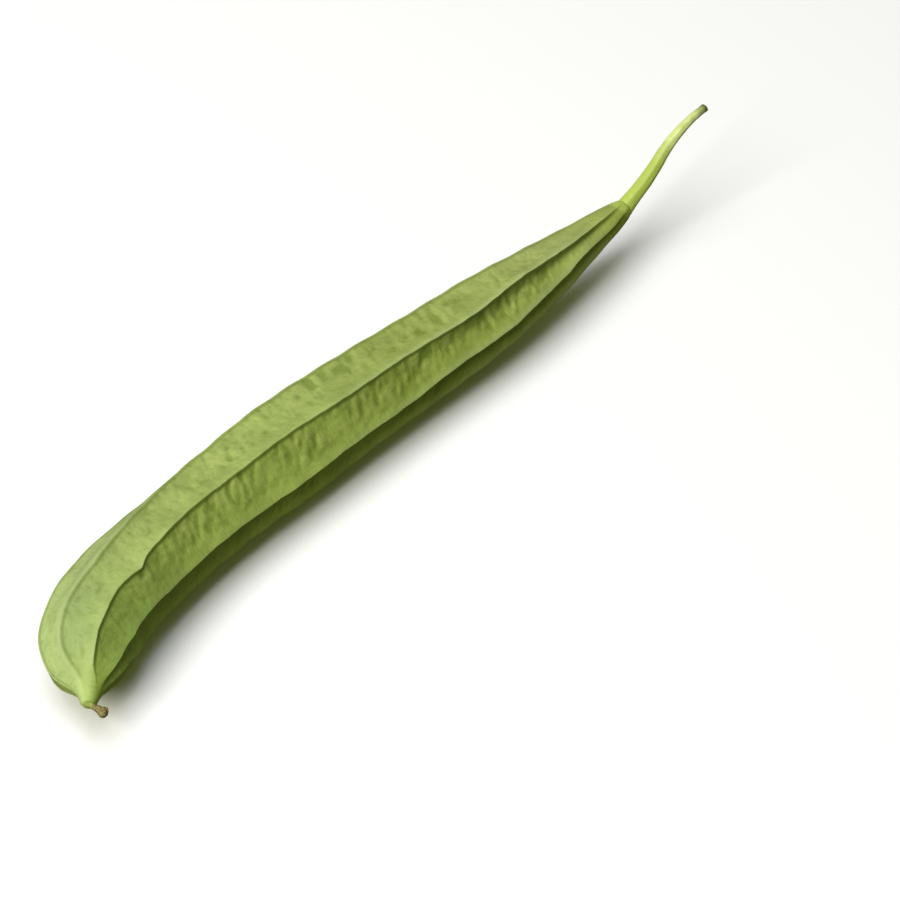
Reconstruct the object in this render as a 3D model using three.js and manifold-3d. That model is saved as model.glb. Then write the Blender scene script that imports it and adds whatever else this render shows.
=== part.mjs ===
// A ridge gourd, picked with its stalk and lying on its side.
// Millimetres, +Z up. The gourd lies along X, with the dried blossom at the low end and the stalk at
// the high end.
// The origin is on the surface it lies on, at the middle of its outline.
// The fruit is one solid: a club shape swept along a hooked line, with ten sharp ridges and a hollow
// between each two.
import * as THREE from "three";
import { mergeVertices } from "three/addons/utils/BufferGeometryUtils.js";
import Module from "manifold-3d";

const wasm = await Module();
wasm.setup();

// Driving dimensions of the fruit
const fruitLength = 385; // along its centreline, from the blossom tip to the stalk
const restHeight = 21.2; // centreline above the surface, along the belly
const neckRise = 4.5; // how much higher the centreline is at the stalk
const riseStart = 230; // where along the fruit that rise starts

// The centreline's direction seen from above, in degrees from +X: a hook at the blossom end with its
// tip bent back a little, a long bow and a straighter neck
const hookTurn = 61.4;
const hookReach = 41.2;
const hookSharpness = 1.75;
const tipTurn = -23.5;
const tipReach = 12.5;
const bowTurn = -13;
const bowLength = 346;
const neckReturn = 8.7;

// Radius over the ridges at places along the centreline: [distance from the blossom tip, radius]
const fruitRadii = [
  [0, 2.9],
  [0.8, 3.5],
  [2, 3.8],
  [5, 5.1],
  [8, 7.0],
  [12, 10.7],
  [16, 14.1],
  [21, 16.9],
  [32, 20.6],
  [46, 21.9],
  [72, 22.1],
  [105, 21.4],
  [135, 21.8],
  [162, 22.9],
  [205, 21.7],
  [250, 20.2],
  [290, 18.5],
  [325, 14.4],
  [355, 9.8],
  [373, 7.2],
  [381, 5.7],
  [384, 4.9],
  [385, 4.4],
];

// Ridges, as angles round the centreline from straight up towards -Y. The three that show from the
// front wander: [distance from the blossom tip, angle]. The others run from an angle at the tip to one
// along the body.
const frontRidges = [
  [
    ...[[0, -24], [8, -27], [14, -34], [19.5, -35], [32, -26], [46, -16.5], [57, -14], [70, -18]],
    ...[[88, -27], [125, -45], [fruitLength, -45]],
  ],
  [
    ...[[0, 46], [4, 39], [8, 24], [11, 15], [15.5, 15.5], [25, 20], [35, 24], [46.5, 24.5], [58.5, 28]],
    ...[[62, 30.5], [64.5, 32], [67, 30], [71, 27], [81, 25], [108, 19.5], [144, 22]], // a kink at 64
    ...[[204, 25.5], [252, 26], [270, 27], [283, 26.5], [297, 24], [310, 22.5], [335, 23], [350, 22.5]],
    ...[[362, 21], [372, 19], [fruitLength, 10]],
  ],
  [
    ...[[0, 70], [5, 63], [8.5, 61], [12.5, 66], [18, 68], [40, 71], [78, 74.5], [154, 78], [217, 79]],
    ...[[250, 75.5], [281, 76], [295, 75], [309, 71.5], [321, 71], [332, 69], [341, 65], [350, 62.5]],
    ...[[367, 63], [fruitLength, 50]],
  ],
];
const hiddenRidges = [
  { tip: 92, body: 110 },
  { tip: 114, body: 137 },
  { tip: 138, body: 165 },
  { tip: 168, body: 195 },
  { tip: 198, body: 226 },
  { tip: 229, body: 256 },
  { tip: 261, body: 286 },
];
const tipBlend = 60; // how far from the tip the hidden ridges have reached their body angles
const lipHeight = 0.9; // the sharp edge that each ridge ends in
const lipWidth = 1.5;
const hollowDepth = 0.9; // of a hollow, below the straight line from ridge to ridge and the lips' feet
const hollowPower = 1.5; // above 1, a hollow is flatter beside the ridges and rounder in its middle
const reliefStart = 2.5; // the fruit's radius from which its ridges and hollows begin to show
const reliefSpan = 13; // and how much more it takes until they show in full
const swayAngle = 0.9; // degrees that a ridge wanders to either side
const swayLength = 74;
const swellHeight = 0.15; // how much a ridge rises and falls along its length
const swellLength = 20;
const goldenShare = 0.618; // spaces the ridges' waves so that no two run together

// Where the hollows are sampled from one ridge to the next, as shares of the gap
const gapSteps = [0, 0.09, 0.3, 0.5, 0.7, 0.91];
const ringSpacing = 5.6;
const tipRings = [0, 0.9, 3, 6, 9, 12.5, 16.5, 21.5, 27]; // closer together where the tip rounds over
const neckRings = [381, 383.5, 385];

// The stalk: its centreline as [distance on from the end of the fruit, rise], and its radius at shares
// of its length
const jointGap = 0.3;
const stalkPath = [
  [0, 0],
  [8.4, 3.4],
  [15.9, 6.8],
  [22.7, 11],
  [28.4, 15.5],
  [34.6, 19.2],
  [41.8, 21.9],
  [50.5, 23.5],
  [59.8, 23.9],
];
const stalkRadii = [
  [0, 4.3],
  [0.06, 3.9],
  [0.15, 3.6],
  [0.33, 3.3],
  [0.58, 2.7],
  [0.8, 2.2],
  [0.95, 1.95],
  [1, 2.05],
];
const stalkRings = 34;
const stalkCorners = 5; // a gourd stalk is five-cornered
const stalkFlute = 0.08; // how much its corners stand out, as a share of its radius

// The dried blossom: its radius at places along its length, and how far its five lobes stand out there
const blossomProfile = [
  [0, 1.8, 0],
  [2.6, 1.35, 0.05],
  [4, 1.5, 0.1],
  [5.6, 1.85, 0.18],
  [7.1, 2.1, 0.24],
  [8.2, 1.75, 0.26],
  [8.9, 0.8, 0.2],
];
const blossomTurn = 58; // degrees that it leans from the fruit's own line, seen from above
const blossomDroop = 8; // and below it
const lobes = 5;

const degrees = Math.PI / 180;

function smoothStep(share) {
  const t = Math.min(1, Math.max(0, share));
  return t * t * (3 - 2 * t);
}

// The value at x of a smooth curve through [x, value] knots
function along(knots, x) {
  const last = knots.length - 2;
  let i = knots.findIndex((k, n) => n > 0 && x <= k[0]) - 1;
  if (i < 0) i = x <= knots[0][0] ? 0 : last;
  const slope = (n) => {
    const a = knots[Math.max(0, n - 1)];
    const b = knots[Math.min(knots.length - 1, n + 1)];
    return (b[1] - a[1]) / (b[0] - a[0]);
  };
  const [x0, v0] = knots[i];
  const [x1, v1] = knots[i + 1];
  const width = x1 - x0;
  const t = (x - x0) / width;
  return (
    v0 * (1 + 2 * t) * (1 - t) ** 2 +
    width * slope(i) * t * (1 - t) ** 2 +
    v1 * t * t * (3 - 2 * t) +
    width * slope(i + 1) * t * t * (t - 1)
  );
}

// A closed surface through rings of points, all with the same count, and capped at both ends
function loft(rings) {
  const count = rings[0].length;
  const points = rings.flat();
  const middle = (ring) =>
    ring.reduce((sum, p) => sum.add(p), new THREE.Vector3()).divideScalar(count);
  points.push(middle(rings[0]), middle(rings.at(-1)));
  const startCentre = rings.length * count;
  const endCentre = startCentre + 1;
  const lastRing = (rings.length - 1) * count;
  const faces = [];
  for (let j = 0; j < count; j++) {
    const next = (j + 1) % count;
    for (let i = 0; i < rings.length - 1; i++) {
      const a = i * count + j;
      const b = i * count + next;
      const c = b + count;
      const d = a + count;
      faces.push(a, b, d, b, c, d);
    }
    faces.push(startCentre, next, j);
    faces.push(endCentre, lastRing + j, lastRing + next);
  }
  const geometry = new THREE.BufferGeometry().setFromPoints(points);
  geometry.setIndex(faces);
  return geometry;
}

function heading(s) {
  const hook = hookTurn * Math.exp(-((s / hookReach) ** hookSharpness));
  const bow = bowTurn * smoothStep(s / bowLength);
  const neck = neckReturn * smoothStep((s - riseStart) / (fruitLength - riseStart));
  const tip = tipTurn * Math.exp(-((s / tipReach) ** 2));
  return (hook + bow + neck + tip) * degrees;
}

// Points of the fruit's centreline, one for each millimetre
const centreline = [new THREE.Vector3(0, 0, restHeight)];
for (let s = 0; s < fruitLength; s++) {
  const from = centreline[s];
  const turn = heading(s + 0.5);
  const rise = neckRise * smoothStep((s + 1 - riseStart) / (fruitLength - riseStart));
  centreline.push(
    new THREE.Vector3(from.x + Math.cos(turn), from.y + Math.sin(turn), restHeight + rise),
  );
}

function centreAt(s) {
  const i = Math.min(fruitLength - 1, Math.floor(s));
  return centreline[i].clone().lerp(centreline[i + 1], s - i);
}

// Every ridge as [distance from the blossom tip, angle] knots
const ridges = [
  ...frontRidges,
  ...hiddenRidges.map(({ tip, body }) => [[0, tip], [tipBlend, body], [fruitLength, body]]),
];

// A ridge's angle and height at s. The one after the last is the first again, a full turn on.
function ridgeAt(index, s) {
  const wrapped = index % ridges.length;
  const turns = index === ridges.length ? 360 : 0;
  const phase = 2 * Math.PI * goldenShare * wrapped;
  const angle = along(ridges[wrapped], s);
  const sway =
    swayAngle * smoothStep(s / tipBlend) * Math.sin((2 * Math.PI * s) / swayLength + phase);
  const radius = along(fruitRadii, s);
  const swell = Math.sin((2 * Math.PI * s) / swellLength + 3 * phase);
  return {
    angle: (angle + sway + turns) * degrees,
    radius: radius + swellHeight * reliefAt(radius) * swell,
  };
}

// Ridges and hollows flatten where the fruit is slender
function reliefAt(radius) {
  return smoothStep((radius - reliefStart) / reliefSpan);
}

// One ring of the fruit's surface, in the upright plane across the centreline at s
function fruitRing(s) {
  const centre = centreAt(s);
  const turn = heading(s);
  const outward = new THREE.Vector3(Math.sin(turn), -Math.cos(turn), 0);
  const up = new THREE.Vector3(0, 0, 1);
  const relief = reliefAt(along(fruitRadii, s));
  const ring = [];
  for (let ridge = 0; ridge < ridges.length; ridge++) {
    const here = ridgeAt(ridge, s);
    const next = ridgeAt(ridge + 1, s);
    const gap = next.angle - here.angle;
    for (const share of gapSteps) {
      const angle = here.angle + gap * share;
      const crest = here.radius + (next.radius - here.radius) * share;
      const chord = (crest * Math.cos(gap / 2)) / Math.cos((share - 0.5) * gap);
      const fromRidge = crest * gap * Math.min(share, 1 - share);
      const lip = lipHeight * (1 - Math.exp(-((fromRidge / lipWidth) ** 2)));
      const hollow = hollowDepth * Math.sin(Math.PI * share) ** hollowPower;
      const radius = chord - relief * (lip + hollow);
      ring.push(
        centre
          .clone()
          .addScaledVector(up, radius * Math.cos(angle))
          .addScaledVector(outward, radius * Math.sin(angle)),
      );
    }
  }
  return ring;
}

function solidFrom(geometry) {
  geometry.deleteAttribute("normal");
  geometry.deleteAttribute("uv");
  const merged = mergeVertices(geometry, 1e-4);
  return new wasm.Manifold(
    new wasm.Mesh({
      numProp: 3,
      vertProperties: merged.attributes.position.array,
      triVerts: new Uint32Array(merged.index.array),
    }),
  );
}

function geometryFrom(solid) {
  const mesh = solid.getMesh();
  const geometry = new THREE.BufferGeometry();
  geometry.setAttribute("position", new THREE.BufferAttribute(mesh.vertProperties, 3));
  geometry.setIndex(new THREE.BufferAttribute(mesh.triVerts, 1));
  return geometry;
}

// The fruit, with its two lowest ridges pressed flat where they bear on the surface
function makeFruit() {
  const bodySpan = neckRings[0] - tipRings.at(-1);
  const bodyCount = Math.round(bodySpan / ringSpacing);
  const bodyRings = [];
  for (let i = 1; i < bodyCount; i++) bodyRings.push(tipRings.at(-1) + (bodySpan * i) / bodyCount);
  const rings = [...tipRings, ...bodyRings, ...neckRings].map(fruitRing);
  const under = new THREE.BoxGeometry(3 * fruitLength, 3 * fruitLength, fruitLength);
  under.translate(0, 0, -fruitLength / 2);
  return geometryFrom(solidFrom(loft(rings)).subtract(solidFrom(under)));
}

// A ring round a slender piece, across the line from before to after
function ringAcross(centre, before, after, radiusAt, sides) {
  const forward = after.clone().sub(before).normalize();
  const side = new THREE.Vector3(0, 0, 1).cross(forward).normalize();
  const up = forward.clone().cross(side);
  const ring = [];
  for (let j = 0; j < sides; j++) {
    const angle = (2 * Math.PI * j) / sides;
    ring.push(
      centre
        .clone()
        .addScaledVector(side, -radiusAt(angle) * Math.sin(angle))
        .addScaledVector(up, radiusAt(angle) * Math.cos(angle)),
    );
  }
  return ring;
}

function makeStalk() {
  const end = centreAt(fruitLength);
  const turn = heading(fruitLength);
  const forward = new THREE.Vector3(Math.cos(turn), Math.sin(turn), 0);
  const curve = new THREE.CatmullRomCurve3(
    stalkPath.map(([distance, rise]) =>
      end
        .clone()
        .addScaledVector(forward, jointGap + distance)
        .add(new THREE.Vector3(0, 0, rise)),
    ),
  );
  const rings = [];
  for (let i = 0; i <= stalkRings; i++) {
    const share = i / stalkRings;
    const centre = curve.getPointAt(share);
    // The first ring stands upright against the fruit's end, and the rest lie square across the stalk
    const before = curve.getPointAt(Math.max(0, share - 0.01));
    const after = curve.getPointAt(Math.min(1, share + 0.01));
    if (i === 0) after.copy(before).add(forward);
    const radius = along(stalkRadii, share);
    const fluted = (angle) => radius * (1 + stalkFlute * Math.cos(stalkCorners * angle));
    rings.push(ringAcross(centre, before, after, fluted, 4 * stalkCorners));
  }
  return loft(rings);
}

function makeBlossom() {
  const tip = centreAt(0);
  const turn = heading(0) + Math.PI;
  const square = new THREE.Vector3(Math.cos(turn), Math.sin(turn), 0);
  const lean = turn + blossomTurn * degrees;
  const droop = -blossomDroop * degrees;
  const leaning = new THREE.Vector3(
    Math.cos(lean) * Math.cos(droop),
    Math.sin(lean) * Math.cos(droop),
    Math.sin(droop),
  );
  const start = tip.addScaledVector(square, jointGap);
  const rings = blossomProfile.map(([distance, radius, lobe], i) => {
    const centre = start.clone().addScaledVector(i === 0 ? square : leaning, distance);
    const ahead = centre.clone().add(i === 0 ? square : leaning);
    const lobed = (angle) => radius * (1 + lobe * Math.cos(lobes * angle));
    return ringAcross(centre, centre, ahead, lobed, 4 * lobes);
  });
  return loft(rings);
}

const rind = new THREE.MeshStandardMaterial({ color: 0x8fa64e, roughness: 0.55, metalness: 0 });
const freshStalk = new THREE.MeshStandardMaterial({ color: 0xb9cc62, roughness: 0.5, metalness: 0 });
const driedFlower = new THREE.MeshStandardMaterial({ color: 0x9a8352, roughness: 0.9, metalness: 0 });

function named(name, geometry, material) {
  const mesh = new THREE.Mesh(geometry, material);
  mesh.name = name;
  return mesh;
}

const gourd = new THREE.Group();
gourd.add(
  named("fruit", makeFruit(), rind),
  named("stalk", makeStalk(), freshStalk),
  named("dried_blossom", makeBlossom(), driedFlower),
);

// The origin goes to the middle of the outline, on the surface
const outline = new THREE.Box3().setFromObject(gourd);
const middle = outline.getCenter(new THREE.Vector3());
gourd.position.set(-middle.x, -middle.y, -outline.min.z);

export default gourd;
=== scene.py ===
import math
import bmesh
import bpy
import numpy as np
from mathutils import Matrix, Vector


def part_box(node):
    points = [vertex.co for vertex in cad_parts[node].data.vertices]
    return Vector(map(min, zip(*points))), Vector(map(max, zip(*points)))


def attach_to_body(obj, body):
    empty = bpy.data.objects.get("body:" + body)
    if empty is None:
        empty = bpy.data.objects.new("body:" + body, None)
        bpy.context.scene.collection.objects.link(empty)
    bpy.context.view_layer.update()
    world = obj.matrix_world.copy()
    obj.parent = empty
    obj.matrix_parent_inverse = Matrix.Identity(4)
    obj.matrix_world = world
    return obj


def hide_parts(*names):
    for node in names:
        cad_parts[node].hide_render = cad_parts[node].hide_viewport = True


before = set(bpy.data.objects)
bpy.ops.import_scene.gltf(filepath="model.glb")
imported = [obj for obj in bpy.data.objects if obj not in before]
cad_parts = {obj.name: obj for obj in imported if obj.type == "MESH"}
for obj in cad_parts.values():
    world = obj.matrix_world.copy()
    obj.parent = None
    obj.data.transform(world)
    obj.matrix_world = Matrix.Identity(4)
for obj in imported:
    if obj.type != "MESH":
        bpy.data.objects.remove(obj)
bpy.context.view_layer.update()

mm = 0.001  # every length in the dictionaries is in millimetres, apart from the studio's

# The fruit's centreline, from the blossom tip to the stalk, and how thick the fruit is along it
bodyLine = {
    "length": 385.0,
    "restHeight": 21.2,
    "neckRise": 4.5,
    "riseStart": 230.0,
    "hookTurn": 61.4,
    "hookReach": 41.2,
    "hookSharpness": 1.75,
    "tipTurn": -23.5,  # the tip bends back a little
    "tipReach": 12.5,
    "bowTurn": -13.0,
    "bowLength": 346.0,
    "neckReturn": 8.7,
    "radii": [
        (0, 2.9), (0.8, 3.5), (2, 3.8), (5, 5.1), (8, 7.0), (12, 10.7), (16, 14.1), (21, 16.9), (32, 20.6),
        (46, 21.9), (72, 22.1), (105, 21.4), (135, 21.8), (162, 22.9), (205, 21.7), (250, 20.2),
        (290, 18.5), (325, 14.4), (355, 9.8), (373, 7.2), (381, 5.7), (384, 4.9), (385, 4.4),
    ],
}


def smoothStep(share):
    t = np.clip(share, 0, 1)
    return t * t * (3 - 2 * t)


def along(knots, x):
    # a smooth curve through (place, value) knots
    places = np.array([k[0] for k in knots], float)
    values = np.array([k[1] for k in knots], float)
    last = len(places) - 1
    before = np.maximum(np.arange(last + 1) - 1, 0)
    after = np.minimum(np.arange(last + 1) + 1, last)
    slopes = (values[after] - values[before]) / (places[after] - places[before])
    x = np.clip(x, places[0], places[-1])
    i = np.clip(np.searchsorted(places, x) - 1, 0, last - 1)
    width = places[i + 1] - places[i]
    t = (x - places[i]) / width
    return (
        values[i] * (1 + 2 * t) * (1 - t) ** 2
        + width * slopes[i] * t * (1 - t) ** 2
        + values[i + 1] * t * t * (3 - 2 * t)
        + width * slopes[i + 1] * t * t * (t - 1)
    )


def headingAt(s):
    hook = bodyLine["hookTurn"] * np.exp(-((s / bodyLine["hookReach"]) ** bodyLine["hookSharpness"]))
    bow = bodyLine["bowTurn"] * smoothStep(s / bodyLine["bowLength"])
    neckShare = (s - bodyLine["riseStart"]) / (bodyLine["length"] - bodyLine["riseStart"])
    tipBend = bodyLine["tipTurn"] * np.exp(-((s / bodyLine["tipReach"]) ** 2))
    return np.radians(hook + bow + tipBend + bodyLine["neckReturn"] * smoothStep(neckShare))


def centreAt(s):
    # the centreline is stepped one millimetre at a time, as a path is walked
    steps = np.arange(bodyLine["length"] + 1)
    turns = headingAt(steps[:-1] + 0.5)
    neckShare = (steps - bodyLine["riseStart"]) / (bodyLine["length"] - bodyLine["riseStart"])
    x = np.concatenate([[0], np.cumsum(np.cos(turns))])
    y = np.concatenate([[0], np.cumsum(np.sin(turns))])
    z = bodyLine["restHeight"] + bodyLine["neckRise"] * smoothStep(neckShare)
    return np.stack([np.interp(s, steps, x), np.interp(s, steps, y), np.interp(s, steps, z)], -1)


def sidewaysAt(turn):
    # level and square to the centreline, towards the front
    return np.stack([np.sin(turn), -np.cos(turn), np.zeros_like(turn)], -1)


# Ridges: (distance from the blossom tip, degrees round the fruit from straight up towards the front)
ridgeNet = {
    "courses": [
        [(0, -24), (8, -27), (14, -34), (19.5, -35), (32, -26), (46, -16.5), (57, -14),
         (70, -18), (88, -27), (125, -45), (385, -45)],
        [(0, 46), (4, 39), (8, 24), (11, 15), (15.5, 15.5), (25, 20), (35, 24), (46.5, 24.5),
         (58.5, 28), (62, 30.5), (64.5, 32), (67, 30), (71, 27), (81, 25), (108, 19.5), (144, 22),
         (204, 25.5), (252, 26), (270, 27), (283, 26.5), (297, 24), (310, 22.5), (335, 23),
         (350, 22.5), (362, 21), (372, 19), (385, 10)],
        [(0, 70), (5, 63), (8.5, 61), (12.5, 66), (18, 68), (40, 71), (78, 74.5), (154, 78),
         (217, 79), (250, 75.5), (281, 76), (295, 75), (309, 71.5), (321, 71), (332, 69),
         (341, 65), (350, 62.5), (367, 63), (385, 50)],
        [(0, 92), (60, 110), (385, 110)],
        [(0, 114), (60, 137), (385, 137)],
        [(0, 138), (60, 165), (385, 165)],
        [(0, 168), (60, 195), (385, 195)],
        [(0, 198), (60, 226), (385, 226)],
        [(0, 229), (60, 256), (385, 256)],
        [(0, 261), (60, 286), (385, 286)],
    ],
    "reliefStart": 2.5,  # ridges and hollows flatten where the fruit is slender: none at this radius
    "reliefSpan": 13.0,  # and all of them at this much more
    "settleLength": 60.0,
    "swayAngle": 0.9,
    "swayLength": 74.0,
    "swellHeight": 0.15,
    "swellLength": 20.0,
    "tremble": 0.13,  # small sideways unevenness of a ridge
    "trembleWaves": [(13.0, 0.6), (7.7, 0.3), (4.9, 0.2)],  # length, share
    "goldenShare": 0.618,  # keeps the ridges' waves apart
    "pointsInGap": [36, 32, 24, 20, 20, 20, 20, 20, 20, 24],
    "gather": 0.62,  # how much closer together the points stand beside a ridge
    "crowding": 0.07,  # and the rings where the two ends round over
    "sharp": [0.3, 1, 0.85, 0.8, 0.8, 0.8, 0.8, 0.7, 0.6, 0.35],  # how far each ridge's lip stands out
    # and of each gap from ridge to ridge: how strongly it is pleated, how hollow it is, how far its hollow
    # draws up under the ridge along the neck, and how pale it is: at 0 the finish paints it a deeper green
    # as painted shade, above 1 a pale bloom with painted sheen and a wider painted highlight on its ridge
    "pleated": [0.75, 1, 0.5, 0.6, 0.8, 0.8, 0.8, 0.7, 0.6, 0.4],
    "hollow": [0.45, 0.05, 0.7, 1, 1, 1, 1, 1, 0.8, 0.05],
    "furrow": [0.0, 1, 0.7, 0.3, 0, 0, 0, 0, 0, 0],
    "pale": [1, 0, 0, 0, 0, 0, 0, 0.4, 1.1, 1.6],
    "furrowSpan": [185.0, 300.0],
    # how the two ends close, from their last ring outwards: step out, share of its radius
    "tipSteps": [(0.3, 0.93), (0.55, 0.76), (0.68, 0.42)],
    "endSteps": [(0.1, 0.94), (0.16, 0.8), (0.16, 0.45)],
    "ringCount": 404,
    "gapAtPoles": 0.6,  # radians
}


def ridgesAt(s, tremble=0.0):
    # angle and height of every ridge at each s, with the first again at the end, a full turn on
    radius = along(bodyLine["radii"], s)
    relief = smoothStep((radius - ridgeNet["reliefStart"]) / ridgeNet["reliefSpan"])
    settled = smoothStep(s / ridgeNet["settleLength"])
    angles, heights = [], []
    for i, course in enumerate(ridgeNet["courses"]):
        phase = 2 * math.pi * ridgeNet["goldenShare"] * i
        sway = ridgeNet["swayAngle"] * settled * np.sin(2 * math.pi * s / ridgeNet["swayLength"] + phase)
        shake = sum(
            np.sin(2 * math.pi * s / wave + (3 + wave) * phase) * share
            for wave, share in ridgeNet["trembleWaves"]
        )
        sideways = np.degrees(tremble * relief * shake / radius)
        swell = np.sin(2 * math.pi * s / ridgeNet["swellLength"] + 3 * phase)
        angles.append(np.radians(along(course, s) + sway + sideways))
        heights.append(radius + ridgeNet["swellHeight"] * relief * swell)
    angles.append(angles[0] + 2 * math.pi)
    heights.append(heights[0])
    return np.array(angles).T, np.array(heights).T, relief


def closedTube(name, rings, caps):
    # a closed skin through rings of points, with a pole at either end
    count, around = rings.shape[:2]
    points = np.vstack([rings.reshape(-1, 3), caps])
    i, j = np.meshgrid(np.arange(count - 1), np.arange(around), indexing="ij")
    a = (i * around + j).ravel()
    b = (i * around + (j + 1) % around).ravel()
    faces = np.stack([a, b, b + around, a + around], 1).tolist()
    startPole = count * around
    lastRing = (count - 1) * around
    for k in range(around):
        following = (k + 1) % around
        faces.append([startPole, following, k])
        faces.append([startPole + 1, lastRing + k, lastRing + following])
    mesh = bpy.data.meshes.new(name)
    mesh.from_pydata(points.tolist(), [], faces)
    mesh.update()
    return mesh


def storeValues(mesh, values, poleValues):
    # values for the rings' points and then for the two poles, which get 0 unless they are given their own
    for name, value in values.items():
        flat = value.reshape(-1, value.shape[-1]) if value.ndim == 3 else value.reshape(-1)
        nought = [[0, 0, 0]] * 2 if value.ndim == 3 else [0, 0]
        atPoles = np.asarray(poleValues.get(name, nought), float)
        layer = mesh.attributes.new(name, "FLOAT_VECTOR" if value.ndim == 3 else "FLOAT", "POINT")
        together = np.ravel(np.concatenate([flat, atPoles])).astype(np.float32)
        layer.data.foreach_set("vector" if value.ndim == 3 else "value", together)


def fruitGuide():
    # the fruit as a smooth tube through its ridges' tops, with what the ridge tree needs on every point
    t = np.linspace(0, 1, ridgeNet["ringCount"])
    crowding = ridgeNet["crowding"]
    warped = (1 - 2 * crowding) * t + crowding * (1 - np.cos(math.pi * t))
    s = bodyLine["length"] * warped / warped[-1]
    angles, heights, relief = ridgesAt(s, ridgeNet["tremble"])
    centre = centreAt(s)
    turn = headingAt(s)
    upwards = np.array([0, 0, 1.0])
    share, gapAngle, crest, angle, sharp = [], [], [], [], []
    for k, count in enumerate(ridgeNet["pointsInGap"]):
        u = np.arange(count) / count
        u = u - ridgeNet["gather"] * np.sin(2 * math.pi * u) / (2 * math.pi)
        gap = angles[:, k + 1] - angles[:, k]
        here, following = ridgeNet["sharp"][k], ridgeNet["sharp"][(k + 1) % len(ridgeNet["sharp"])]
        sharp += list(here + (following - here) * u)
        share.append(np.tile(u, (len(s), 1)))
        gapAngle.append(np.repeat(gap[:, None], count, 1))
        crest.append(heights[:, k, None] + (heights[:, k + 1] - heights[:, k])[:, None] * u)
        angle.append(angles[:, k, None] + gap[:, None] * u)
    share, gapAngle, crest, angle = (np.hstack(v) for v in (share, gapAngle, crest, angle))
    outward = upwards * np.cos(angle)[..., None] + sidewaysAt(turn)[:, None] * np.sin(angle)[..., None]
    rings = centre[:, None] + outward * crest[..., None]
    straight = np.stack(
        [np.repeat(s[:, None], angle.shape[1], 1), crest * np.sin(angle), crest * np.cos(angle)], -1
    )
    values = {
        "share": share, "gapAngle": gapAngle, "crest": crest, "straight": straight, "outward": outward,
        "relief": np.repeat(relief[:, None], angle.shape[1], 1), "sharp": np.tile(sharp, (len(s), 1)),
    }
    for key in ("pleated", "hollow", "furrow", "pale"):
        values[key] = np.tile(np.repeat(ridgeNet[key], ridgeNet["pointsInGap"]), (len(s), 1)).astype(float)
    start, full = ridgeNet["furrowSpan"]
    values["furrow"] = values["furrow"] * smoothStep((s - start) / (full - start))[:, None]
    # both ends close over in a few narrowing rings
    poles = []
    for at, steps in ((0, ridgeNet["tipSteps"]), (-1, ridgeNet["endSteps"])):
        outermost, middle = rings[at].copy(), centre[at]
        ahead = np.array([math.cos(turn[at]), math.sin(turn[at]), 0]) * (-1 if at == 0 else 1)
        lastValues = {key: value[at].copy() for key, value in values.items()}
        for stepOut, scale in steps:
            closing = (middle + (outermost - middle) * scale + ahead * stepOut)[None]
            rings = np.concatenate([closing, rings] if at == 0 else [rings, closing])
            for key, value in lastValues.items():
                added = (value * scale if key in ("crest", "relief") else value)[None]
                values[key] = np.concatenate([added, values[key]] if at == 0 else [values[key], added])
        poles.append(middle + ahead * steps[-1][0])
    return rings, np.array(poles), values


# Helpers for node trees, used for shapes and for finishes


def addNode(tree, kind, inputs=None, **settings):
    # each input is a value to set or a socket to link
    made = tree.nodes.new(kind)
    for key, value in settings.items():
        setattr(made, key, value)
    for key, source in (inputs or {}).items():
        if isinstance(source, bpy.types.NodeSocket):
            tree.links.new(source, made.inputs[key])
        else:
            made.inputs[key].default_value = source
    return made


def calc(tree, operation, *terms):
    return addNode(tree, "ShaderNodeMath", dict(enumerate(terms)), operation=operation).outputs[0]


def plus(tree, first, *others):
    for other in others:
        first = calc(tree, "ADD", first, other)
    return first


def minus(tree, first, other):
    return calc(tree, "SUBTRACT", first, other)


def times(tree, first, *others):
    for other in others:
        first = calc(tree, "MULTIPLY", first, other)
    return first


def over(tree, first, other):
    return calc(tree, "DIVIDE", first, other)


def greater(tree, first, other):
    return calc(tree, "MAXIMUM", first, other)


def vectorCalc(tree, operation, *terms):
    inputs = dict(enumerate(terms))
    if operation == "SCALE":
        inputs["Scale"] = inputs.pop(1)
    made = addNode(tree, "ShaderNodeVectorMath", inputs, operation=operation)
    return made.outputs["Value" if operation == "DOT_PRODUCT" else "Vector"]


def vectorOf(tree, x, y=0.0, z=0.0):
    return addNode(tree, "ShaderNodeCombineXYZ", {"X": x, "Y": y, "Z": z}).outputs[0]


def partsOf(tree, vector):
    return addNode(tree, "ShaderNodeSeparateXYZ", {"Vector": vector}).outputs


def fade(tree, value, start, end, low=0.0, high=1.0):
    # low before start, high after end, and a smooth change between them
    return addNode(
        tree, "ShaderNodeMapRange",
        {"Value": value, "From Min": start, "From Max": end, "To Min": low, "To Max": high},
        interpolation_type="SMOOTHSTEP",
    ).outputs["Result"]


def noise(tree, vector, scale=1.0, detail=2.0, roughness=0.5):
    return addNode(
        tree, "ShaderNodeTexNoise",
        {"Vector": vector, "Scale": scale, "Detail": detail, "Roughness": roughness},
    ).outputs[0]


def evenNoise(tree, vector, scale=1.0, detail=2.0, roughness=0.5):
    # noise that goes as far below 0 as above it
    return calc(tree, "MULTIPLY_ADD", noise(tree, vector, scale, detail, roughness), 2.0, -1.0)


def stored(tree, name, kind="FLOAT"):
    return addNode(tree, "GeometryNodeInputNamedAttribute", {"Name": name}, data_type=kind).outputs[0]


def keep(tree, geometry, name, value, kind="FLOAT"):
    return addNode(
        tree, "GeometryNodeStoreNamedAttribute",
        {"Geometry": geometry, "Name": name, "Value": value},
        data_type=kind, domain="POINT",
    ).outputs[0]


def shifted(tree, geometry, offset):
    return addNode(tree, "GeometryNodeSetPosition", {"Geometry": geometry, "Offset": offset}).outputs[0]


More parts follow.
